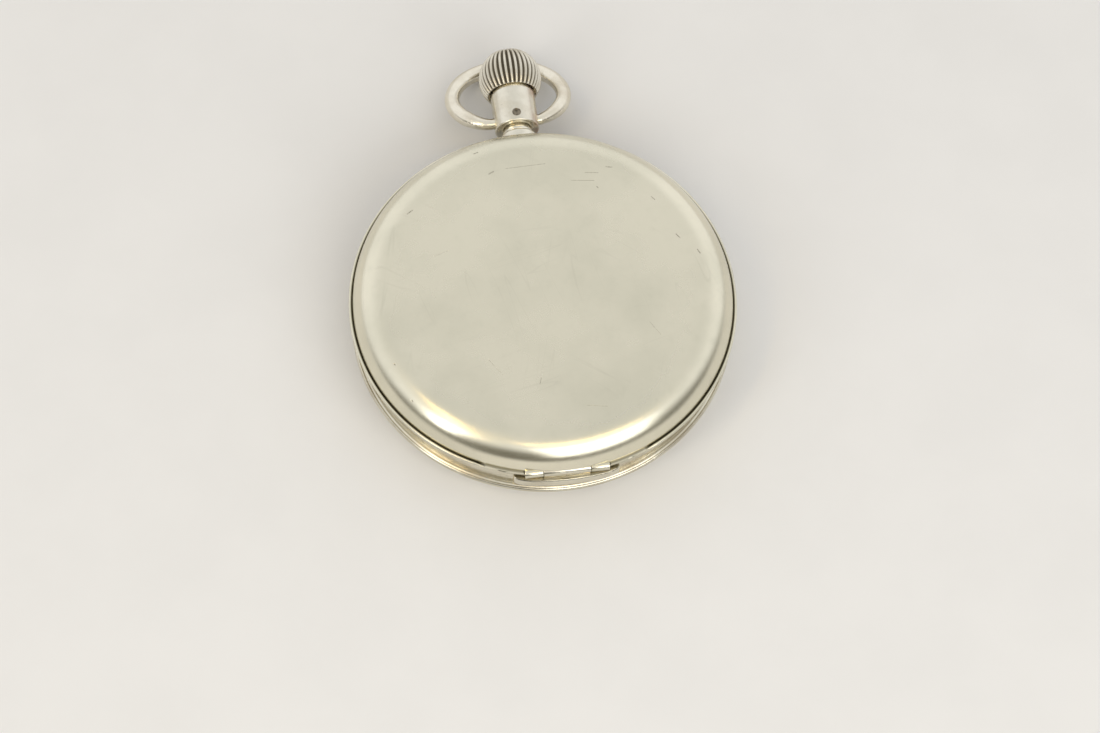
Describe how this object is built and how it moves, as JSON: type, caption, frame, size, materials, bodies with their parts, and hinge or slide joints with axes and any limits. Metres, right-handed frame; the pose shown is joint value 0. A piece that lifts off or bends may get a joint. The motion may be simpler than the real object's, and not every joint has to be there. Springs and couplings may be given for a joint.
{
  "type": "pocket stopwatch",
  "caption": "Pocket stopwatch with hinged domed back, swinging bow, fluted crown that winds and presses, glazed dial and a full lever movement with column wheel and reset hammer.",
  "frame": {"origin": "middle of the bezel's flat front rim, on which the watch lies face down", "axes": "+Z out of the back cover, +Y from the middle towards the crown, +X completes the frame"},
  "size_m": [0.052, 0.0692, 0.0136],
  "materials": {
    "case_silver": "nickel silver, satin middle, polished edges, light scratches",
    "pendant_silver": "nickel silver, polished, slightly tarnished",
    "crown_silver": "nickel silver, fluted, dark in the grooves",
    "screw_steel": "polished steel",
    "lever_steel": "straight grained steel",
    "arbor_steel": "polished steel",
    "spring_steel": "blued steel",
    "plate_nickel": "nickelled brass, striped",
    "wheel_brass": "gilt brass",
    "jewel_ruby": "polished synthetic ruby",
    "glass": "clear polished glass",
    "dial_enamel": "white enamel with black numbers",
    "hand_steel": "blued steel"
  },
  "bodies": {
    "case": {"case_band": "case_silver", "bezel": "case_silver", "hinge_pin": "screw_steel", "crystal": "glass", "pendant_neck": "pendant_silver", "pendant_sleeve": "pendant_silver", "pendant_screw": "screw_steel", "dial": "dial_enamel", "main_plate": "plate_nickel", "barrel_bridge": "plate_nickel", "train_bridge": "plate_nickel", "balance_cock": "plate_nickel", "pallet_cock": "plate_nickel", "case_screws": "screw_steel", "bridge_screws": "screw_steel", "pallet_cock_screw": "screw_steel", "lever_screws": "screw_steel", "click_screw": "screw_steel", "crown_wheel_screw": "screw_steel", "column_wheel_screw": "screw_steel", "jewel_bearings": "jewel_ruby", "click_spring": "spring_steel", "hairspring": "spring_steel", "regulator": "lever_steel", "column_jumper": "spring_steel", "lever_spring": "spring_steel", "hammer_spring": "spring_steel"},
    "cover": {"rear_cover": "case_silver"},
    "bow": {"bow": "pendant_silver"},
    "crown_turning": {"winding_pinion": "arbor_steel"},
    "crown_pressing": {"crown": "crown_silver", "winding_stem": "arbor_steel"},
    "crown_wheel": {"crown_wheel": "lever_steel"},
    "ratchet": {"ratchet_wheel": "lever_steel", "ratchet_screw": "screw_steel", "barrel_arbor": "arbor_steel"},
    "click": {"click": "lever_steel"},
    "barrel": {"mainspring_barrel": "wheel_brass", "barrel_lid": "wheel_brass", "mainspring": "spring_steel"},
    "minute_arbor": {"minute_wheel": "wheel_brass", "minute_hand": "hand_steel", "minute_heart_cam": "lever_steel"},
    "third_wheel": {"third_wheel": "wheel_brass"},
    "seconds_arbor": {"seconds_wheel": "wheel_brass", "sweep_hand": "hand_steel", "seconds_heart_cam": "lever_steel"},
    "escape_wheel": {"escape_wheel": "lever_steel"},
    "pallets": {"pallet_fork": "lever_steel", "pallet_jewels": "jewel_ruby"},
    "balance": {"balance_wheel": "wheel_brass", "balance_screws": "wheel_brass", "balance_staff": "arbor_steel"},
    "operating_lever": {"operating_lever": "lever_steel"},
    "column_wheel": {"column_wheel": "lever_steel"},
    "hammer": {"reset_hammer": "lever_steel"},
    "brake": {"brake_lever": "lever_steel"}
  },
  "joints": [
    {"name": "cover_hinge", "type": "hinge", "parent": "case", "child": "cover", "pos_m": [0, -0.02506, 0.009], "axis": [1, 0, 0], "range_deg": [0, 110]},
    {"name": "bow_swing", "type": "hinge", "parent": "case", "child": "bow", "pos_m": [0, 0.0293, 0.007], "axis": [1, 0, 0], "range_deg": [-85, 140]},
    {"name": "crown_turn", "type": "hinge", "parent": "case", "child": "crown_turning", "pos_m": [0, 0.03, 0.007], "axis": [0, 1, 0], "continuous": true},
    {"name": "crown_push", "type": "slide", "parent": "crown_turning", "child": "crown_pressing", "axis": [0, -1, 0], "range_m": [0, 0.001], "stiffness_N_per_m": 400},
    {"name": "crown_wheel_turn", "type": "hinge", "parent": "case", "child": "crown_wheel", "pos_m": [0, 0.01549, 0.0091], "axis": [0, 0, 1], "continuous": true},
    {"name": "ratchet_turn", "type": "hinge", "parent": "case", "child": "ratchet", "pos_m": [0.00837, 0.0102, 0.0091], "axis": [0, 0, 1], "continuous": true},
    {"name": "click_lift", "type": "hinge", "parent": "case", "child": "click", "pos_m": [0.017, 0.0088, 0.009], "axis": [0, 0, 1], "range_deg": [-4, 0], "stiffness_Nm_per_rad": 0.0005},
    {"name": "sweep_turn", "type": "hinge", "parent": "case", "child": "seconds_arbor", "pos_m": [0, 0, 0.006], "axis": [0, 0, 1], "continuous": true},
    {"name": "third_turn", "type": "hinge", "parent": "case", "child": "third_wheel", "pos_m": [-0.00477, 0.00411, 0.007], "axis": [0, 0, 1], "continuous": true},
    {"name": "minute_turn", "type": "hinge", "parent": "case", "child": "minute_arbor", "pos_m": [0, 0.0095, 0.007], "axis": [0, 0, 1], "continuous": true},
    {"name": "barrel_turn", "type": "hinge", "parent": "case", "child": "barrel", "pos_m": [0.00837, 0.0102, 0.0066], "axis": [0, 0, 1], "continuous": true},
    {"name": "escape_turn", "type": "hinge", "parent": "case", "child": "escape_wheel", "pos_m": [0.0015, -0.00558, 0.007], "axis": [0, 0, 1], "continuous": true},
    {"name": "pallet_swing", "type": "hinge", "parent": "case", "child": "pallets", "pos_m": [-0.00158, -0.00678, 0.007], "axis": [0, 0, 1], "range_deg": [-5, 5]},
    {"name": "balance_swing", "type": "hinge", "parent": "case", "child": "balance", "pos_m": [-0.0085, -0.0095, 0.0084], "axis": [0, 0, 1], "range_deg": [-200, 200], "stiffness_Nm_per_rad": 0.00001},
    {"name": "operating_lever_turn", "type": "hinge", "parent": "case", "child": "operating_lever", "pos_m": [-0.0075, 0.0183, 0.01], "axis": [0, 0, 1], "range_deg": [-10, 0]},
    {"name": "column_wheel_turn", "type": "hinge", "parent": "case", "child": "column_wheel", "pos_m": [-0.0105, 0.012, 0.0103], "axis": [0, 0, 1], "continuous": true},
    {"name": "hammer_swing", "type": "hinge", "parent": "case", "child": "hammer", "pos_m": [-0.0052, 0.0163, 0.0104], "axis": [0, 0, 1], "range_deg": [0, 2], "stiffness_Nm_per_rad": 0.0005},
    {"name": "brake_swing", "type": "hinge", "parent": "case", "child": "brake", "pos_m": [-0.009, 0.0022, 0.0104], "axis": [0, 0, 1], "range_deg": [-1.2, 0], "stiffness_Nm_per_rad": 0.0005}
  ],
  "couplings": [
    {"joint": "crown_wheel_turn", "follows": "crown_turn", "ratio": -0.5},
    {"joint": "ratchet_turn", "follows": "crown_turn", "ratio": 0.28571},
    {"joint": "operating_lever_turn", "follows": "crown_push", "rad_per_m": -172},
    {"joint": "third_turn", "follows": "sweep_turn", "ratio": -0.16667},
    {"joint": "minute_turn", "follows": "sweep_turn", "ratio": 0.033333},
    {"joint": "barrel_turn", "follows": "sweep_turn", "ratio": -0.0055556},
    {"joint": "escape_turn", "follows": "sweep_turn", "ratio": -10}
  ]
}
